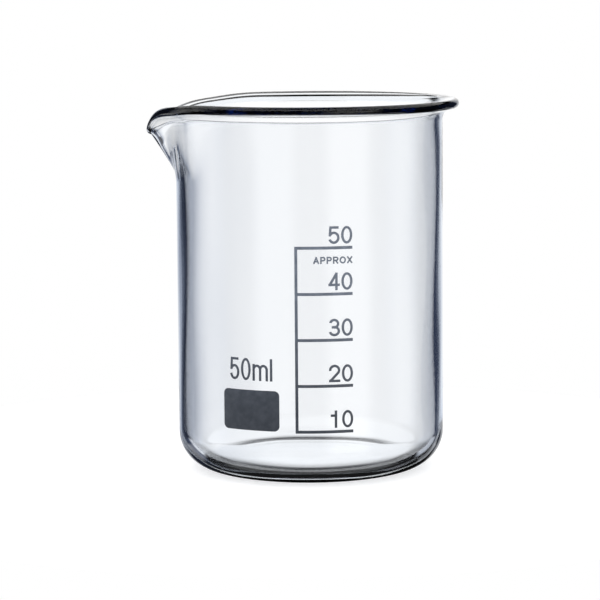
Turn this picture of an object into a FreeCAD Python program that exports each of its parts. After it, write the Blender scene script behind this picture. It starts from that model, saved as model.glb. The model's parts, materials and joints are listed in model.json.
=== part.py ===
import FreeCAD, Part
import math
import os

# A 50 ml low-form laboratory beaker: one piece of thin borosilicate glass with a flared, beaded
# rim and a pouring spout, and the enamel markings that are fired onto its outer wall.
# Millimetres and degrees. The origin is on the beaker's axis at the bench plane, +Z is up,
# the spout points towards -X, and the markings are centred on the -Y side.

# Glass body
OUTER_R = 22.1          # outside radius of the straight wall
WALL = 1.35             # wall thickness
FLOOR = 1.6             # floor thickness
CORNER_OUT_R = 6.3      # radius of the base corner, outside
CORNER_IN_R = 5.0       # radius of the base corner, inside
HEIGHT = 61.4           # top of the rim
LIP_REACH = 1.95        # how far the flared lip stands out, to the middle of the bead
BEAD_R = 0.75           # half thickness of the rounded bead

# Spout: a gutter pressed out of the wall, with the rim drawn down over it
GUTTER_START_Z = 47.5   # the wall is round below this height
TIP_R = 26.8            # middle of the bead at the tip, from the axis
TIP_Z = 56.1            # middle of the bead at the tip, above the bench
GUTTER_EASE = 0.15      # share of the gutter's length over which it leaves the wall gently
GUTTER_WIDTH_LOW = 9.0  # half width at half depth where the gutter starts, degrees round the wall
GUTTER_WIDTH_TOP = 14.0  # the same at the rim
FADE_FROM = 35.0        # from here the gutter's sides fade out
FADE_TO = 58.0          # and here the rim is round again
SPOUT_HALF_SECTOR = 60.0
SPOUT_AZIMUTH = 180.0   # the spout's direction, counter-clockwise from +X
KNOTS_ROUND = 47        # extra knots across the spout's sector
KNOTS_WALL = 15         # extra knots up the straight wall
KNOTS_BEND = 5          # extra knots round each bend of the lip

# Enamel markings
ENAMEL = 0.06           # thickness of the fired enamel
PRINT_HALF_SPAN = 28.5  # the markings reach this far to each side of -Y, degrees round the wall
RULE_AT = 4.9           # middle of the upright rule, degrees
LINE_WIDTH = 0.48       # width of the rule and of the graduation lines
LINE_10_Z = 9.35        # height of the 10 ml line
LINE_STEP = 7.4         # from one line to the next, 10 ml of contents
GRADUATIONS = (10, 20, 30, 40, 50)
FIGURE_HEIGHT = 2.82
FIGURE_WIDTH = 1.84
FIGURE_GAP = 0.26
FIGURE_STROKE = 0.40
FIGURE_RISE = 0.62      # from the middle of a line to the foot of its figures
APPROX_HEIGHT = 1.15
APPROX_STROKE = 0.24
APPROX_GAP = 0.17
APPROX_RISE = 4.85      # above the 40 ml line
CAPACITY_HEIGHT = 3.6
CAPACITY_STROKE = 0.40
CAPACITY_GAP = 0.34
CAPACITY_FROM = -25.2   # left edge of the capacity label, degrees
CAPACITY_RISE = 8.1     # above the 10 ml line
PATCH_WIDTH = 26.0      # degrees round the wall
PATCH_HEIGHT = 6.55
PATCH_CORNER_R = 0.85

# Letter shapes. Each stroke is given by its middle line in a unit square that is inset by half
# a stroke from the letter's box: ("bar", x, z, x, z) or ("arc", x, z, reach x, reach z, from, to).
LETTERS = {
    "0": (("arc", 0.5, 0.5, 0.5, 0.5, 0, 360),),
    "1": (("bar", 0.62, 0, 0.62, 1), ("bar", 0.17, 0.74, 0.62, 0.74)),
    "2": (("arc", 0.5, 0.715, 0.5, 0.285, -42, 188), ("bar", 0.03, 0, 0.87, 0.524),
          ("bar", 0, 0, 1, 0)),
    "3": (("arc", 0.48, 0.75, 0.44, 0.25, -90, 168), ("arc", 0.5, 0.265, 0.5, 0.265, -168, 90),
          ("bar", 0.34, 0.515, 0.5, 0.515)),
    "4": (("bar", 0.76, 0, 0.76, 1), ("bar", 0, 0.27, 1, 0.27), ("bar", 0.02, 0.28, 0.74, 1)),
    "5": (("bar", 0.16, 1, 0.9, 1), ("bar", 0.13, 1, 0.06, 0.5),
          ("arc", 0.5, 0.325, 0.5, 0.325, -160, 142)),
    "m": (("bar", 0, 0, 0, 0.72), ("arc", 0.25, 0.5, 0.25, 0.2, 0, 180), ("bar", 0.5, 0, 0.5, 0.5),
          ("arc", 0.75, 0.5, 0.25, 0.2, 0, 180), ("bar", 1, 0, 1, 0.5)),
    "l": (("bar", 0, 0, 0, 1),),
    "A": (("bar", 0, 0, 0.5, 1), ("bar", 1, 0, 0.5, 1), ("bar", 0.25, 0.3, 0.75, 0.3)),
    "P": (("bar", 0, 0, 0, 1), ("bar", 0, 1, 0.55, 1), ("bar", 0, 0.45, 0.55, 0.45),
          ("arc", 0.55, 0.725, 0.45, 0.275, -90, 90)),
    "R": (("bar", 0, 0, 0, 1), ("bar", 0, 1, 0.55, 1), ("bar", 0, 0.45, 0.55, 0.45),
          ("arc", 0.55, 0.725, 0.45, 0.275, -90, 90), ("bar", 0.5, 0.45, 0.95, 0)),
    "O": (("arc", 0.5, 0.5, 0.5, 0.5, 0, 360),),
    "X": (("bar", 0, 0, 1, 1), ("bar", 0, 1, 1, 0)),
}
APPROX_WIDTHS = {"A": 0.95, "P": 0.85, "R": 0.90, "O": 1.05, "X": 0.90}
CAPACITY_WIDTHS = {"5": 1.80, "0": 1.76, "m": 2.66, "l": CAPACITY_STROKE}

# Worked out from the driving dimensions
INNER_R = OUTER_R - WALL
BEAD_CENTRE_R = OUTER_R + LIP_REACH
BEAD_CENTRE_Z = HEIGHT - BEAD_R
LIP_START_OUT_Z = HEIGHT - 2 * BEAD_R - LIP_REACH
LIP_START_IN_Z = HEIGHT - LIP_REACH - WALL
LIP_STATION = (LIP_START_OUT_Z - GUTTER_START_Z) / (BEAD_CENTRE_Z - GUTTER_START_Z)
QUARTER = math.cos(math.radians(45))
AXIS = FreeCAD.Vector(0, 0, 1)
ORIGIN = FreeCAD.Vector(0, 0, 0)
LETTER_DEPTH = 4.0      # letters are cut from prisms this deep, centred on the wall
CLEAR_ANGLE = 10.0      # the skin that letters are cut from reaches past them, degrees
CLEAR_RISE = 1.0        # the same upwards and downwards
WEDGE_STEP = 45.0       # corners of the wedge that cuts an arc out of a ring, degrees
SEW_TOLERANCE = 0.001


# ---- Spout shape ----

def rim_line(station):
    """Radius and height of the outer wall and lip away from the spout; station runs from 0 to 1."""
    if station <= LIP_STATION:
        return OUTER_R, GUTTER_START_Z + (LIP_START_OUT_Z - GUTTER_START_Z) * station / LIP_STATION
    turn = math.radians(90) * (station - LIP_STATION) / (1 - LIP_STATION)
    return OUTER_R + LIP_REACH * (1 - math.cos(turn)), LIP_START_OUT_Z + LIP_REACH * math.sin(turn)


def gutter_line(station):
    """Radius and height of the same line along the middle of the gutter."""
    depth = (1 + GUTTER_EASE) * station * station / (station + GUTTER_EASE)
    end_z = TIP_Z - BEAD_R
    return OUTER_R + (TIP_R - OUTER_R) * depth, GUTTER_START_Z + (end_z - GUTTER_START_Z) * station


def gutter_share(station, off_centre):
    """How much of the gutter's depth is left at an angle off its middle, from 1 to 0."""
    width = GUTTER_WIDTH_LOW + (GUTTER_WIDTH_TOP - GUTTER_WIDTH_LOW) * station
    fade = min(max((abs(off_centre) - FADE_FROM) / (FADE_TO - FADE_FROM), 0.0), 1.0)
    return (1 - fade * fade * (3 - 2 * fade)) / (1 + (off_centre / width) ** 2)


def pressed(point, station):
    """A point of the round wall, moved to where pressing the spout leaves it."""
    radius = math.hypot(point.x, point.y)
    azimuth = math.degrees(math.atan2(point.y, point.x)) % 360
    share = gutter_share(station, azimuth - SPOUT_AZIMUTH)
    rim_r, rim_z = rim_line(station)
    gutter_r, gutter_z = gutter_line(station)
    grow = (radius + share * (gutter_r - rim_r)) / radius
    return FreeCAD.Vector(point.x * grow, point.y * grow, point.z + share * (gutter_z - rim_z))


# ---- Glass body ----

def lip_profile():
    """Spans of the upper profile, outer wall to inner wall: start, middle pole, end, middle
    weight, station at start and end, extra knots. Each span is a line or a quarter circle."""
    bead_low = (BEAD_CENTRE_R, HEIGHT - 2 * BEAD_R)
    bead_out = (BEAD_CENTRE_R + BEAD_R, BEAD_CENTRE_Z)
    bead_top = (BEAD_CENTRE_R, HEIGHT)
    wall_out = (OUTER_R, LIP_START_OUT_Z)
    wall_in = (INNER_R, LIP_START_IN_Z)
    foot_out = (OUTER_R, GUTTER_START_Z)
    foot_in = (INNER_R, GUTTER_START_Z)
    middle_z_out = (GUTTER_START_Z + LIP_START_OUT_Z) / 2
    middle_z_in = (GUTTER_START_Z + LIP_START_IN_Z) / 2
    return (
        (foot_out, (OUTER_R, middle_z_out), wall_out, 1, 0, LIP_STATION, KNOTS_WALL),
        (wall_out, (OUTER_R, bead_low[1]), bead_low, QUARTER, LIP_STATION, 1, KNOTS_BEND),
        (bead_low, (bead_out[0], bead_low[1]), bead_out, QUARTER, 1, 1, KNOTS_BEND),
        (bead_out, (bead_out[0], HEIGHT), bead_top, QUARTER, 1, 1, KNOTS_BEND),
        (bead_top, (INNER_R, HEIGHT), wall_in, QUARTER, 1, LIP_STATION, KNOTS_BEND),
        (wall_in, (INNER_R, middle_z_in), foot_in, 1, LIP_STATION, 0, KNOTS_WALL),
    )


def base_profile():
    """Edges of the profile below the gutter, from the base's middle out, up and back inside."""
    corner_out = OUTER_R - CORNER_OUT_R
    corner_in = INNER_R - CORNER_IN_R
    base = Part.LineSegment(at(0, 0), at(corner_out, 0))
    corner = quarter_arc(corner_out, CORNER_OUT_R, CORNER_OUT_R)
    outside = Part.LineSegment(at(OUTER_R, CORNER_OUT_R), at(OUTER_R, GUTTER_START_Z))
    inside = Part.LineSegment(at(INNER_R, GUTTER_START_Z), at(INNER_R, FLOOR + CORNER_IN_R))
    cove = quarter_arc(corner_in, FLOOR + CORNER_IN_R, CORNER_IN_R)
    floor = Part.LineSegment(at(corner_in, FLOOR), at(0, FLOOR))
    return [curve.toShape() for curve in (base, corner, outside, inside, cove, floor)]


def at(radius, z):
    return FreeCAD.Vector(radius, 0, z)


def quarter_arc(centre_r, centre_z, radius):
    """Lower outer quarter of a circle in the profile plane."""
    middle = at(centre_r + radius * QUARTER, centre_z - radius * QUARTER)
    return Part.Arc(at(centre_r, centre_z - radius), middle, at(centre_r + radius, centre_z))


def round_face(span):
    """The exact surface of revolution of one span, everywhere but the spout's sector."""
    start, middle, end, weight = span[:4]
    curve = Part.BSplineCurve()
    poles = [at(*start), at(*middle), at(*end)]
    curve.buildFromPolesMultsKnots(poles, [3, 3], [0, 1], False, 2, [1, weight, 1])
    edge = curve.toShape()
    edge.rotate(ORIGIN, AXIS, SPOUT_AZIMUTH + SPOUT_HALF_SECTOR)
    return edge.revolve(ORIGIN, AXIS, 360 - 2 * SPOUT_HALF_SECTOR)


def spout_face(span):
    """The same span in the spout's sector: an exact rational surface, refined, then pressed."""
    start, middle, end, weight, station_from, station_to, knots = span
    half = math.radians(SPOUT_HALF_SECTOR)
    turns = ((-half, 1, 1), (0, 1 / math.cos(half), math.cos(half)), (half, 1, 1))
    poles = []
    weights = []
    for angle, stretch, round_weight in turns:
        azimuth = math.radians(SPOUT_AZIMUTH) + angle
        across = stretch * math.cos(azimuth)
        along = stretch * math.sin(azimuth)
        poles.append([FreeCAD.Vector(r * across, r * along, z) for r, z in (start, middle, end)])
        weights.append([round_weight, round_weight * weight, round_weight])
    face = Part.BSplineSurface()
    face.buildFromPolesMultsKnots(poles, [3, 3], [3, 3], [0, 1], [0, 1], False, False, 2, 2, weights)
    refine = [(i + 1) / (KNOTS_ROUND + 1) for i in range(KNOTS_ROUND)]
    face.insertUKnots(refine, [1] * KNOTS_ROUND, 0.0)
    refine = [(i + 1) / (knots + 1) for i in range(knots)]
    face.insertVKnots(refine, [1] * knots, 0.0)
    flat_knots = face.VKnotSequence
    for j in range(1, face.NbVPoles + 1):
        place = (flat_knots[j] + flat_knots[j + 1]) / 2
        station = station_from + (station_to - station_from) * place
        for i in range(1, face.NbUPoles + 1):
            face.setPole(i, j, pressed(face.getPole(i, j), station))
    return face.toShape()


def glass_body():
    """The whole beaker as one closed piece of glass."""
    faces = [edge.revolve(ORIGIN, AXIS, 360) for edge in base_profile()]
    for span in lip_profile():
        faces.append(round_face(span))
        faces.append(spout_face(span))
    shell = Part.Compound(faces)
    shell.sewShape(SEW_TOLERANCE)
    solid = Part.Solid(shell.Shells[0])
    if solid.Volume < 0:
        solid.reverse()
    return solid


# ---- Enamel markings ----

def skin(angle_from, angle_to, z_from, z_to):
    """A patch of enamel on the wall, angles in degrees from -Y towards +X."""
    base = FreeCAD.Vector(0, 0, z_from)
    span = angle_to - angle_from
    outer = Part.makeCylinder(OUTER_R + ENAMEL, z_to - z_from, base, AXIS, span)
    inner = Part.makeCylinder(OUTER_R, z_to - z_from, base, AXIS, span)
    patch = outer.cut(inner)
    patch.rotate(ORIGIN, AXIS, angle_from - 90)
    return patch


def degrees_round(length):
    """The angle that a length takes up round the wall."""
    return math.degrees(length / OUTER_R)


def scale_rule():
    half = degrees_round(LINE_WIDTH / 2)
    top = LINE_10_Z + LINE_STEP * (len(GRADUATIONS) - 1)
    return skin(RULE_AT - half, RULE_AT + half, LINE_10_Z - LINE_WIDTH / 2, top + LINE_WIDTH / 2)


def graduation_line(step):
    z = LINE_10_Z + LINE_STEP * step
    start = RULE_AT + degrees_round(LINE_WIDTH / 2)
    return skin(start, PRINT_HALF_SPAN, z - LINE_WIDTH / 2, z + LINE_WIDTH / 2)


def prism(face):
    return face.extrude(FreeCAD.Vector(0, LETTER_DEPTH, 0))


def in_front(x, z):
    """A point on the plane in front of the wall from which letters are extruded."""
    return FreeCAD.Vector(x, -OUTER_R - LETTER_DEPTH / 2, z)


def bar_stroke(x0, z0, x1, z1, stroke):
    """A straight stroke that runs half its width past both ends of its middle line."""
    length = math.hypot(x1 - x0, z1 - z0)
    along = FreeCAD.Vector(x1 - x0, 0, z1 - z0) * (0.5 * stroke / length)
    across = FreeCAD.Vector(z0 - z1, 0, x1 - x0) * (0.5 * stroke / length)
    first = in_front(x0, z0) - along
    last = in_front(x1, z1) + along
    corners = [first - across, last - across, last + across, first + across, first - across]
    return prism(Part.Face(Part.makePolygon(corners)))


def oval(x, z, reach_x, reach_z):
    side = in_front(x + reach_x, z)
    top = in_front(x, z + reach_z)
    ends = (top, side) if reach_z >= reach_x else (side, top)
    return prism(Part.Face(Part.Wire(Part.Ellipse(ends[0], ends[1], in_front(x, z)).toShape())))


def arc_stroke(x, z, reach_x, reach_z, start, end, stroke):
    """Part of an oval ring, from one angle to the other, counter-clockwise from +X."""
    half = stroke / 2
    ring = oval(x, z, reach_x + half, reach_z + half).cut(oval(x, z, reach_x - half, reach_z - half))
    if end - start >= 360:
        return ring
    steps = math.ceil((end - start) / WEDGE_STEP)
    far = 2 * (reach_x + reach_z)
    corners = [in_front(x, z)]
    for i in range(steps + 1):
        angle = math.radians(start + (end - start) * i / steps)
        corners.append(in_front(x + far * math.cos(angle), z + far * math.sin(angle)))
    corners.append(corners[0])
    return ring.common(prism(Part.Face(Part.makePolygon(corners))))


def letter(name, width, height, stroke):
    """One letter as a prism in front of the wall, centred on x = 0, with its foot at z = 0."""
    run = width - stroke
    rise = height - stroke
    left = -run / 2
    foot = stroke / 2
    strokes = []
    for kind, *size in LETTERS[name]:
        if kind == "bar":
            start = (left + run * size[0], foot + rise * size[1])
            end = (left + run * size[2], foot + rise * size[3])
            strokes.append(bar_stroke(*start, *end, stroke))
        else:
            centre = (left + run * size[0], foot + rise * size[1])
            strokes.append(arc_stroke(*centre, run * size[2], rise * size[3], size[4], size[5], stroke))
    whole = strokes[0]
    if len(strokes) > 1:
        whole = whole.multiFuse(strokes[1:]).removeSplitter()
    letter_box = Part.makeBox(width, LETTER_DEPTH, height, in_front(-width / 2, 0))
    return whole.common(letter_box)


def on_wall(shape, z, angle):
    """A letter or patch from in front of the wall, laid onto it as enamel."""
    box = shape.BoundBox
    half = degrees_round(max(box.XMax, -box.XMin)) + CLEAR_ANGLE
    enamel = shape.common(skin(-half, half, box.ZMin - CLEAR_RISE, box.ZMax + CLEAR_RISE))
    enamel.translate(FreeCAD.Vector(0, 0, z))
    enamel.rotate(ORIGIN, AXIS, angle)
    return enamel.Solids[0]


def label(text, widths, height, stroke, gap, z, start):
    """A row of letters whose left edge is at the angle start."""
    letters = []
    left = 0.0
    for name in text:
        middle = start + degrees_round(left + widths[name] / 2)
        letters.append(on_wall(letter(name, widths[name], height, stroke), z, middle))
        left += widths[name] + gap
    return Part.Compound(letters)


def label_width(text, widths, gap):
    return sum(widths[name] for name in text) + gap * (len(text) - 1)


def figures(value, step):
    """The number that belongs to one line, flush with the line's right end."""
    text = str(value)
    widths = dict.fromkeys(text, FIGURE_WIDTH)
    start = PRINT_HALF_SPAN - degrees_round(label_width(text, widths, FIGURE_GAP))
    z = LINE_10_Z + LINE_STEP * step + FIGURE_RISE
    return label(text, widths, FIGURE_HEIGHT, FIGURE_STROKE, FIGURE_GAP, z, start)


def approx_label():
    z = LINE_10_Z + LINE_STEP * (len(GRADUATIONS) - 2) + APPROX_RISE
    start = PRINT_HALF_SPAN - degrees_round(label_width("APPROX", APPROX_WIDTHS, APPROX_GAP))
    return label("APPROX", APPROX_WIDTHS, APPROX_HEIGHT, APPROX_STROKE, APPROX_GAP, z, start)


def capacity_label():
    z = LINE_10_Z + CAPACITY_RISE
    return label("50ml", CAPACITY_WIDTHS, CAPACITY_HEIGHT, CAPACITY_STROKE, CAPACITY_GAP, z, CAPACITY_FROM)


def marking_patch():
    """The blank rounded patch that takes a pencil mark."""
    width = 2 * OUTER_R * math.sin(math.radians(PATCH_WIDTH / 2))
    plate = Part.makeBox(width, LETTER_DEPTH, PATCH_HEIGHT, in_front(-width / 2, 0))
    corners = [edge for edge in plate.Edges if edge.Length == LETTER_DEPTH]
    plate = plate.makeFillet(PATCH_CORNER_R, corners)
    return on_wall(plate, LINE_10_Z, PATCH_WIDTH / 2 - PRINT_HALF_SPAN)


def main():
    nodes = {"glass_body": glass_body(), "scale_rule": scale_rule()}
    for step, value in enumerate(GRADUATIONS):
        nodes["line_%d" % value] = graduation_line(step)
        nodes["figures_%d" % value] = figures(value, step)
    nodes["approx_label"] = approx_label()
    nodes["capacity_label"] = capacity_label()
    nodes["marking_patch"] = marking_patch()
    os.makedirs("parts", exist_ok=True)
    for name, shape in nodes.items():
        print(name, "valid", shape.isValid(), "solids", len(shape.Solids), "mm3", round(shape.Volume, 3))
        shape.exportStep("parts/" + name + ".step")


main()
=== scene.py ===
import bmesh
import bpy
import json
import math
from mathutils import Matrix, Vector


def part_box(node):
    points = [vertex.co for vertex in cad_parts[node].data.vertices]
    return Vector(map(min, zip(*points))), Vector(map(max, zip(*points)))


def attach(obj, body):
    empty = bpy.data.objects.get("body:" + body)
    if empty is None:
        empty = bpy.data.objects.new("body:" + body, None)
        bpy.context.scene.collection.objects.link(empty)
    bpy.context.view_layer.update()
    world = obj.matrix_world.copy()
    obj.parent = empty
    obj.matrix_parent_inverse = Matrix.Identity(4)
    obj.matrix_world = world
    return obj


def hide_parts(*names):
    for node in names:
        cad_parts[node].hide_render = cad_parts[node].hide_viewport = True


# The looks of a 50 ml laboratory beaker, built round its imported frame. Metres and degrees.
# The frame's origin is on the beaker's axis at the bench plane, +Z is up, the spout points
# towards -X and the printed scale is on the -Y side.

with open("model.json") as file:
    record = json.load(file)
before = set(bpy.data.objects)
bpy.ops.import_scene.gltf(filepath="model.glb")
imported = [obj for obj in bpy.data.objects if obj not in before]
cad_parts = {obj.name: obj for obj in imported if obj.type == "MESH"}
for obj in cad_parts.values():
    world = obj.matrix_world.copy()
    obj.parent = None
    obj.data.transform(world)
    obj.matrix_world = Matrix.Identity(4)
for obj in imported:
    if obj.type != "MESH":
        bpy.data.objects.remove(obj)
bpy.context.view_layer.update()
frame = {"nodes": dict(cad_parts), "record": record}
mounts = {mount["name"]: mount for mount in frame["record"]["mounts"]}
glass_low, glass_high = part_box("glass_body")

# Glass body, from the frame
OUTER_R = mounts["outer_wall"]["dims"]["r_mm"] / 1000
WALL_TOP = mounts["outer_wall"]["pos_m"][2] + mounts["outer_wall"]["dims"]["length_mm"] / 2000
WALL_FOOT = mounts["outer_wall"]["pos_m"][2] - mounts["outer_wall"]["dims"]["length_mm"] / 2000
HEIGHT = glass_high.z
BEAD_R = 0.00075
BEAD_CENTRE_R = glass_high.x - BEAD_R
TIP_R = -glass_low.x - BEAD_R

# Glass body, inside
WALL = 0.00135
FLOOR = 0.0016
CORNER_IN_R = 0.005

# Spout: a gutter pressed out of the wall, whose edge dips from the rim to the tip
SPOUT_AZIMUTH = 180.0
TIP_Z = 0.0561
GUTTER_EASE = 0.15                  # how gently the gutter starts from the wall
GUTTER_WIDTH_LOW = 9.0
GUTTER_WIDTH_TOP = 14.0
FADE_FROM = 35.0                    # degrees off the gutter's middle where it starts to fade out
FADE_TO = 58.0

# Folds pressed into the neck of the spout, on the inner face
FOLD_DEPTH = 0.00018
FOLD_PERIOD = 6.5
FOLD_FROM = 176.0
FOLD_TO = 208.0
FOLD_LOW_Z = 0.0482
FOLD_HIGH_Z = 0.0555

# Slight unevenness that blowing leaves on the inner face: two ripples round the wall
WAVE_DEPTH = 0.00002
WAVES_ROUND = 5
FINER_WAVES_ROUND = 11
FINER_WAVE_SHARE = 0.6
WAVE_RISE = 0.012                   # height over which the broad ripple moves on by one radian
WAVE_FADE = 0.004                   # how far below the lip the ripples reach their full depth
WAVE_FLOOR_POWER = 4                # how fast they die away towards the middle of the floor

# Glass material
GLASS_IOR = 1.473
GLASS_TINT = (0.25, 0.57, 0.97, 1)
GLASS_TINT_DENSITY = 30.0
HAZE_SCALE = 220.0
HAZE_DETAIL = 3.0
HAZE_GRAIN = 0.5
HAZE_FROM = 0.4
HAZE_TO = 0.75
HAZE_ROUGHNESS = 0.025

# Enamel material, which is paler towards the top
ENAMEL_DARK = (0.053, 0.062, 0.078, 1)
ENAMEL_PALE = (0.074, 0.085, 0.106, 1)
ENAMEL_ROUGHNESS = (0.4, 0.5)
MOTTLE_SCALE = 900.0
MOTTLE_DETAIL = 4.0
MOTTLE_GRAIN = 0.6
MOTTLE_FROM = 0.35
MOTTLE_TO = 0.65
PALER_FROM = 0.010
PALER_TO = 0.038
PALER_GAIN = 3.8

# Mesh density
ROUND_STEPS = 360
SPOUT_CROWDING = 0.5                # how much closer the steps are at the spout
WALL_ROWS = 26
BEND_ROWS = 10
CORNER_ROWS = 16
DISC_ROWS = 10

# Camera
CAMERA_AZIMUTH = 10.8
CAMERA_DISTANCE = 0.47275
CAMERA_HEIGHT = 0.08809
CAMERA_PITCH = 7.26
CAMERA_YAW = 0.21
CAMERA_ROLL = 0.43
CAMERA_LENS = 171.4
SENSOR_WIDTH = 36.0

# Floor and backdrop
WHITE = (1, 1, 1, 1)
BLACK = (0, 0, 0, 1)
FLOOR_R = 0.085
FLOOR_STEPS = 96
FLOOR_GAP = 0.00002                 # the floor lies this far under the beaker
FLOOR_COLOUR = (0.9, 0.9, 0.9, 1)
FLOOR_ROUGHNESS = 0.9
FLOOR_SPECULAR = 0.1
FLOOR_GLOW = 0.6
BACKDROP_R = 1.5
BACKDROP_SUBDIVISIONS = 4

# Bands of light: lowest elevation and its softness, highest elevation and its softness
CARD_BAND = (-20.5, 3.0, 17.5, 1.5)
LOW_BAND = (-33.0, 2.0, -17.0, 2.0)
DEEP_BAND = (-100.0, 2.0, -47.0, 4.0)
TOP_BAND = (25.0, 2.0, 72.0, 3.0)

# Light cards in those bands: the azimuth looked along and the brightness there, which changes
# evenly from one to the next. Azimuth 0 looks along +Y, 90 along -X.
CARDS = (
    (-40.0, 0.02), (-15.5, 0.03), (-12.5, 0.60), (-8.0, 0.74), (-4.0, 0.88), (0.0, 0.97),
    (4.0, 1.02), (8.0, 1.05), (12.0, 1.05), (15.0, 0.97), (17.0, 0.90), (19.0, 0.83),
    (21.3, 0.74), (24.8, 0.58), (28.8, 0.47), (32.4, 0.36), (34.6, 0.04), (41.0, 0.01),
    (47.0, 0.01), (64.0, 0.02), (74.0, 0.5), (83.0, 1.06), (97.0, 1.06), (106.0, 0.5),
    (116.0, 0.02), (200.0, 0.02), (212.0, 1.06), (238.0, 1.06), (250.0, 0.02),
)
LOW_CARDS = (
    (0.0, 0.0), (20.0, 0.0), (36.0, 0.05), (44.0, 0.10), (47.0, 0.8), (78.0, 0.8),
    (84.0, 0.0), (200.0, 0.0), (212.0, 1.06), (238.0, 1.06), (250.0, 0.0), (328.0, 0.0),
    (331.0, 0.7), (341.0, 0.6), (344.0, 0.0), (359.0, 0.0),
)
DEEP_CARDS = (
    (0.0, 0.0), (64.0, 0.0), (80.0, 0.8), (300.0, 0.8), (316.0, 0.0), (359.0, 0.0),
)
TOP_LIGHT = 1.0
FLANK = 0.01                        # light that is there in every direction
COOLING = (1.10, 1.0, 0.80)         # powers of a card's brightness that give its red, green and blue

# Light paths: enough for a ray to get through both walls and the bead
GLASS_BOUNCES = 24
GLOSSY_BOUNCES = 12


class Graph:
    """Short names for the few shader nodes that the materials and the studio use."""

    def __init__(self, tree):
        self.tree = tree

    def node(self, kind, **settings):
        made = self.tree.nodes.new(kind)
        for name, value in settings.items():
            setattr(made, name, value)
        return made

    def link(self, output, socket):
        """Links an output to a socket, or sets the socket where it is given a plain value."""
        if hasattr(output, "is_output"):
            self.tree.links.new(output, socket)
        else:
            socket.default_value = output

    def math(self, operation, *values):
        made = self.node("ShaderNodeMath", operation=operation)
        for socket, value in zip(made.inputs, values):
            self.link(value, socket)
        return made.outputs[0]

    def vector(self, operation, *values):
        made = self.node("ShaderNodeVectorMath", operation=operation)
        for socket, value in zip(made.inputs, values):
            self.link(value, socket)
        return made.outputs["Vector"]

    def ramp(self, value, low, high, to_low=0.0, to_high=1.0):
        """A smooth step: to_low at low, to_high at high."""
        made = self.node("ShaderNodeMapRange", interpolation_type="SMOOTHSTEP", clamp=True)
        for socket, item in zip(made.inputs, (value, low, high, to_low, to_high)):
            self.link(item, socket)
        return made.outputs[0]

    def noise(self, coordinates, scale, detail, grain):
        made = self.node("ShaderNodeTexNoise")
        made.inputs["Scale"].default_value = scale
        made.inputs["Detail"].default_value = detail
        made.inputs["Roughness"].default_value = grain
        self.link(coordinates, made.inputs["Vector"])
        return made.outputs["Fac"]


def new_material(name):
    """A node material and its principled shader."""
    material = bpy.data.materials.new(name)
    material.use_nodes = True
    nodes = material.node_tree.nodes
    return material, next(node for node in nodes if node.type == "BSDF_PRINCIPLED")


def add_object(name, data):
    made = bpy.data.objects.new(name, data)
    bpy.context.scene.collection.objects.link(made)
    return made


# ---- Glass body ----

BEAD_CENTRE_Z = HEIGHT - BEAD_R
INNER_R = OUTER_R - WALL
LIP_REACH = BEAD_CENTRE_R - OUTER_R
LIP_START_OUT_Z = HEIGHT - 2 * BEAD_R - LIP_REACH
LIP_START_IN_Z = HEIGHT - LIP_REACH - WALL
LIP_STATION = (LIP_START_OUT_Z - WALL_TOP) / (BEAD_CENTRE_Z - WALL_TOP)


def rim_line(station):
    """Radius and height of the outer wall and lip away from the spout; station runs from 0 to 1."""
    if station <= LIP_STATION:
        return OUTER_R, WALL_TOP + (LIP_START_OUT_Z - WALL_TOP) * station / LIP_STATION
    turn = math.radians(90) * (station - LIP_STATION) / (1 - LIP_STATION)
    return OUTER_R + LIP_REACH * (1 - math.cos(turn)), LIP_START_OUT_Z + LIP_REACH * math.sin(turn)


def gutter_line(station):
    """Radius and height of the same line along the middle of the gutter."""
    depth = (1 + GUTTER_EASE) * station * station / (station + GUTTER_EASE)
    end_z = TIP_Z - BEAD_R
    return OUTER_R + (TIP_R - OUTER_R) * depth, WALL_TOP + (end_z - WALL_TOP) * station


def gutter_share(station, off_centre):
    """How much of the gutter's depth is left at an angle off its middle, from 1 to 0."""
    width = GUTTER_WIDTH_LOW + (GUTTER_WIDTH_TOP - GUTTER_WIDTH_LOW) * station
    fade = min(max((abs(off_centre) - FADE_FROM) / (FADE_TO - FADE_FROM), 0.0), 1.0)
    return (1 - fade * fade * (3 - 2 * fade)) / (1 + (off_centre / width) ** 2)


def smooth_window(value, low, high):
    """A smooth hump: nought outside low and high, one half way between them."""
    share = min(max((value - low) / (high - low), 0.0), 1.0)
    return math.sin(math.pi * share) ** 2


def spout_folds(azimuth, z):
    """How far the folds pressed into the neck of the spout stand in from the inner face."""
    window = smooth_window(azimuth, FOLD_FROM, FOLD_TO) * smooth_window(z, FOLD_LOW_Z, FOLD_HIGH_Z)
    return FOLD_DEPTH * window * math.sin(math.tau * azimuth / FOLD_PERIOD)


def unevenness(azimuth, radius, z):
    """How far the two ripples stand in from the inner face."""
    turn = math.radians(azimuth)
    broad = math.sin(WAVES_ROUND * turn + z / WAVE_RISE)
    fine = math.sin(FINER_WAVES_ROUND * turn - 2 * z / WAVE_RISE)
    below_lip = min(max((LIP_START_IN_Z - z) / WAVE_FADE, 0.0), 1.0)
    off_axis = (radius / INNER_R) ** WAVE_FLOOR_POWER
    return WAVE_DEPTH * (broad + FINER_WAVE_SHARE * fine) * below_lip * off_axis


def arc_rows(centre_r, centre_z, radius, start, end, rows, station_from=0.0, station_to=0.0):
    """Profile points along part of a circle, without its last one."""
    made = []
    for i in range(rows):
        share = i / rows
        angle = math.radians(start + (end - start) * share)
        station = station_from + (station_to - station_from) * share
        made.append((centre_r + radius * math.cos(angle), centre_z + radius * math.sin(angle), station))
    return made


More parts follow.
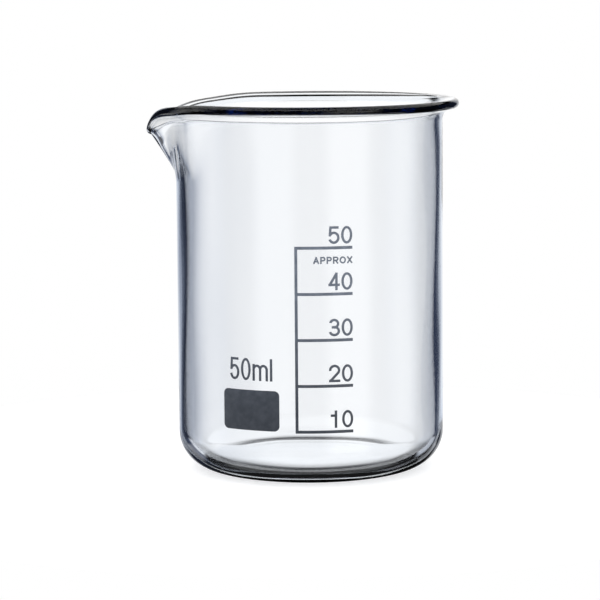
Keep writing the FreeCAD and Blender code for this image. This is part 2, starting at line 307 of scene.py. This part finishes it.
def line_rows(start, end, rows, station_from=0.0, station_to=0.0):
    """Profile points along a straight stretch, without its last one."""
    made = []
    for i in range(rows):
        share = i / rows
        radius = start[0] + (end[0] - start[0]) * share
        z = start[1] + (end[1] - start[1]) * share
        made.append((radius, z, station_from + (station_to - station_from) * share))
    return made


def glass_profile():
    """The section of the glass from the middle of the base, up the outside, over and down inside."""
    base_r = OUTER_R - WALL_FOOT
    floor_r = INNER_R - CORNER_IN_R
    inner_lip = BEAD_CENTRE_R - INNER_R
    rows = line_rows((0.0, 0.0), (base_r, 0.0), DISC_ROWS)[1:]
    rows += arc_rows(base_r, WALL_FOOT, WALL_FOOT, -90, 0, CORNER_ROWS)
    rows += line_rows((OUTER_R, WALL_FOOT), (OUTER_R, WALL_TOP), WALL_ROWS)
    rows += line_rows((OUTER_R, WALL_TOP), (OUTER_R, LIP_START_OUT_Z), WALL_ROWS, 0, LIP_STATION)
    rows += arc_rows(BEAD_CENTRE_R, LIP_START_OUT_Z, LIP_REACH, 180, 90, BEND_ROWS, LIP_STATION, 1)
    rows += arc_rows(BEAD_CENTRE_R, BEAD_CENTRE_Z, BEAD_R, -90, 90, 2 * BEND_ROWS, 1, 1)
    rows += arc_rows(BEAD_CENTRE_R, LIP_START_IN_Z, inner_lip, 90, 180, BEND_ROWS, 1, LIP_STATION)
    rows += line_rows((INNER_R, LIP_START_IN_Z), (INNER_R, WALL_TOP), WALL_ROWS, LIP_STATION, 0)
    rows += line_rows((INNER_R, WALL_TOP), (INNER_R, FLOOR + CORNER_IN_R), WALL_ROWS)
    rows += arc_rows(floor_r, FLOOR + CORNER_IN_R, CORNER_IN_R, 0, -90, CORNER_ROWS)
    rows += line_rows((floor_r, FLOOR), (0.0, FLOOR), DISC_ROWS)
    return rows


def step_azimuth(step):
    """The azimuth of a step round the axis; steps are closest together at the spout."""
    share = step / ROUND_STEPS
    return 360 * share + math.degrees(SPOUT_CROWDING * math.sin(math.tau * share))


def glass_mesh():
    """One closed skin: the section turned round the axis, with the spout pressed out of it."""
    rows = glass_profile()
    top_row = rows.index(max(rows, key=lambda row: row[1]))
    lip_foot_row = top_row + BEND_ROWS
    vertices = [(0.0, 0.0, 0.0)]
    for number, (radius, z, station) in enumerate(rows):
        rim_r, rim_z = rim_line(station)
        gutter_r, gutter_z = gutter_line(station)
        for step in range(ROUND_STEPS):
            azimuth = step_azimuth(step)
            share = gutter_share(station, azimuth - SPOUT_AZIMUTH)
            out = radius + share * (gutter_r - rim_r)
            if number > lip_foot_row:
                out -= spout_folds(azimuth, z) + unevenness(azimuth, radius, z)
            turn = math.radians(azimuth)
            vertices.append((out * math.cos(turn), out * math.sin(turn), z + share * (gutter_z - rim_z)))
    vertices.append((0.0, 0.0, FLOOR))
    faces = []
    last = len(vertices) - 1
    last_ring = 1 + (len(rows) - 1) * ROUND_STEPS
    for step in range(ROUND_STEPS):
        after = (step + 1) % ROUND_STEPS
        faces.append((0, 1 + after, 1 + step))
        faces.append((last, last_ring + step, last_ring + after))
        for row in range(len(rows) - 1):
            low = 1 + row * ROUND_STEPS
            high = low + ROUND_STEPS
            faces.append((low + step, low + after, high + after, high + step))
    mesh = bpy.data.meshes.new("glass")
    mesh.from_pydata(vertices, [], faces)
    mesh.polygons.foreach_set("use_smooth", [True] * len(faces))
    mesh.update()
    return mesh


def glass_material():
    """Clear borosilicate glass: a cool tint that deepens with thickness, and a faint uneven haze."""
    material, shader = new_material("clear_borosilicate")
    graph = Graph(material.node_tree)
    place = graph.node("ShaderNodeTexCoord").outputs["Object"]
    haze = graph.noise(place, HAZE_SCALE, HAZE_DETAIL, HAZE_GRAIN)
    roughness = graph.ramp(haze, HAZE_FROM, HAZE_TO, 0.0, HAZE_ROUGHNESS)
    shader.inputs["Base Color"].default_value = WHITE
    graph.link(roughness, shader.inputs["Roughness"])
    shader.inputs["IOR"].default_value = GLASS_IOR
    shader.inputs["Transmission Weight"].default_value = 1.0
    tint = graph.node("ShaderNodeVolumeAbsorption")
    tint.inputs["Color"].default_value = GLASS_TINT
    tint.inputs["Density"].default_value = GLASS_TINT_DENSITY
    output = next(node for node in material.node_tree.nodes if node.type == "OUTPUT_MATERIAL")
    graph.link(tint.outputs[0], output.inputs["Volume"])
    return material


def make_glass():
    glass = add_object("glass", glass_mesh())
    glass.data.materials.append(glass_material())
    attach(glass, "root")
    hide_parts("glass_body")


# ---- Enamel ----

def enamel_material():
    """Slate-grey fired enamel: satin, with a fine mottle, and paler higher up."""
    material, shader = new_material("fired_enamel")
    graph = Graph(material.node_tree)
    place = graph.node("ShaderNodeTexCoord").outputs["Object"]
    mottle = graph.noise(place, MOTTLE_SCALE, MOTTLE_DETAIL, MOTTLE_GRAIN)
    colour = graph.node("ShaderNodeValToRGB")
    dark, pale = colour.color_ramp.elements
    dark.position = MOTTLE_FROM
    dark.color = ENAMEL_DARK
    pale.position = MOTTLE_TO
    pale.color = ENAMEL_PALE
    graph.link(mottle, colour.inputs[0])
    height = graph.node("ShaderNodeSeparateXYZ")
    graph.link(place, height.inputs[0])
    # Paler towards the top: the colour is multiplied by a factor that rises smoothly from one at the lower
    # height to the gain at the upper one
    paler_higher = graph.ramp(height.outputs[2], PALER_FROM, PALER_TO, 1.0, PALER_GAIN)
    graph.link(graph.vector("MULTIPLY", colour.outputs[0], paler_higher), shader.inputs["Base Color"])
    roughness = graph.ramp(mottle, MOTTLE_FROM, MOTTLE_TO, *ENAMEL_ROUGHNESS)
    graph.link(roughness, shader.inputs["Roughness"])
    return material


def paint_enamel():
    material = enamel_material()
    for name, node in frame["nodes"].items():
        if name != "glass_body":
            node.data.materials.clear()
            node.data.materials.append(material)


# ---- Studio ----

def disc_mesh(name, radius, steps):
    mesh = bpy.data.meshes.new(name)
    turns = [math.tau * i / steps for i in range(steps)]
    ring = [(radius * math.cos(turn), radius * math.sin(turn), 0.0) for turn in turns]
    mesh.from_pydata(ring, [], [tuple(range(steps))])
    return mesh


def make_floor():
    """A pale, evenly lit table. The glass refracts the studio round it, not the table itself."""
    floor = add_object("floor", disc_mesh("floor", FLOOR_R, FLOOR_STEPS))
    floor.location.z = -FLOOR_GAP
    material, shader = new_material("pale_floor")
    shader.inputs["Base Color"].default_value = FLOOR_COLOUR
    shader.inputs["Roughness"].default_value = FLOOR_ROUGHNESS
    shader.inputs["Specular IOR Level"].default_value = FLOOR_SPECULAR
    shader.inputs["Emission Color"].default_value = WHITE
    shader.inputs["Emission Strength"].default_value = FLOOR_GLOW
    floor.data.materials.append(material)
    floor.visible_transmission = False
    floor.visible_glossy = False


def make_backdrop():
    """A plain white surround that only the camera sees."""
    mesh = bpy.data.meshes.new("backdrop")
    shape = bmesh.new()
    bmesh.ops.create_icosphere(shape, subdivisions=BACKDROP_SUBDIVISIONS, radius=BACKDROP_R)
    shape.to_mesh(mesh)
    shape.free()
    backdrop = add_object("backdrop", mesh)
    material, shader = new_material("white_backdrop")
    shader.inputs["Base Color"].default_value = BLACK
    shader.inputs["Specular IOR Level"].default_value = 0.0
    shader.inputs["Emission Color"].default_value = WHITE
    shader.inputs["Emission Strength"].default_value = 1.0
    mesh.materials.append(material)
    for rays in ("visible_diffuse", "visible_glossy", "visible_transmission", "visible_shadow"):
        setattr(backdrop, rays, False)


def make_world():
    """Soft cards with dark gaps round the horizon, below it and near straight down, and a ring overhead."""
    world = bpy.data.worlds.new("studio")
    bpy.context.scene.world = world
    world.use_nodes = True
    graph = Graph(world.node_tree)
    world.node_tree.nodes.clear()
    direction = graph.node("ShaderNodeTexCoord").outputs["Generated"]
    parts = graph.node("ShaderNodeSeparateXYZ")
    graph.link(direction, parts.inputs[0])
    east, north, up = parts.outputs
    elevation = graph.math("MULTIPLY", graph.math("ARCSINE", up), 180 / math.pi)
    west = graph.math("MULTIPLY", east, -1.0)
    turns = graph.math("MULTIPLY", graph.math("ARCTAN2", west, north), 1 / math.tau)
    heading = graph.math("FRACT", graph.math("ADD", turns, 1.0))

    def horizon(cards):
        """Colour of the light by the azimuth that is looked along."""
        made = graph.node("ShaderNodeValToRGB")
        ramp = made.color_ramp
        ramp.interpolation = "LINEAR"
        stops = sorted((azimuth % 360 / 360, level) for azimuth, level in cards)
        while len(ramp.elements) > 1:
            ramp.elements.remove(ramp.elements[0])
        ramp.elements[0].position = stops[0][0]
        for stop in stops[1:]:
            ramp.elements.new(stop[0])
        for element, stop in zip(ramp.elements, stops):
            element.color = [stop[1] ** power for power in COOLING] + [1]
        graph.link(heading, made.inputs[0])
        return made.outputs[0]

    def band(low, low_soft, high, high_soft):
        """One between two elevations, nought outside them."""
        rise = graph.ramp(elevation, low - low_soft, low + low_soft)
        fall = graph.ramp(elevation, high - high_soft, high + high_soft, 1.0, 0.0)
        return graph.math("MULTIPLY", rise, fall)

    level = graph.vector("MULTIPLY", horizon(CARDS), band(*CARD_BAND))
    low = graph.vector("MULTIPLY", horizon(LOW_CARDS), band(*LOW_BAND))
    deep = graph.vector("MULTIPLY", horizon(DEEP_CARDS), band(*DEEP_BAND))
    top = graph.math("ADD", graph.math("MULTIPLY", band(*TOP_BAND), TOP_LIGHT), FLANK)
    cards = graph.vector("ADD", graph.vector("MAXIMUM", level, low), deep)
    background = graph.node("ShaderNodeBackground")
    graph.link(graph.vector("ADD", cards, top), background.inputs["Color"])
    output = graph.node("ShaderNodeOutputWorld")
    graph.link(background.outputs[0], output.inputs["Surface"])


def make_camera():
    data = bpy.data.cameras.new("camera")
    data.lens = CAMERA_LENS
    data.sensor_width = SENSOR_WIDTH
    camera = add_object("camera", data)
    azimuth = math.radians(CAMERA_AZIMUTH)
    camera.location.x = CAMERA_DISTANCE * math.sin(azimuth)
    camera.location.y = -CAMERA_DISTANCE * math.cos(azimuth)
    camera.location.z = CAMERA_HEIGHT
    turn = Matrix.Rotation(azimuth + math.radians(CAMERA_YAW), 4, "Z")
    tilt = Matrix.Rotation(math.radians(90 - CAMERA_PITCH), 4, "X")
    roll = Matrix.Rotation(math.radians(-CAMERA_ROLL), 4, "Z")
    camera.rotation_euler = (turn @ tilt @ roll).to_euler()
    bpy.context.scene.camera = camera


def set_film():
    """Plain colours as they are lit, and enough bounces for the glass."""
    scene = bpy.context.scene
    scene.view_settings.view_transform = "Standard"
    scene.cycles.max_bounces = GLASS_BOUNCES
    scene.cycles.transmission_bounces = GLASS_BOUNCES
    scene.cycles.glossy_bounces = GLOSSY_BOUNCES
    scene.cycles.transparent_max_bounces = GLASS_BOUNCES


make_glass()
paint_enamel()
make_floor()
make_backdrop()
make_world()
make_camera()
set_film()
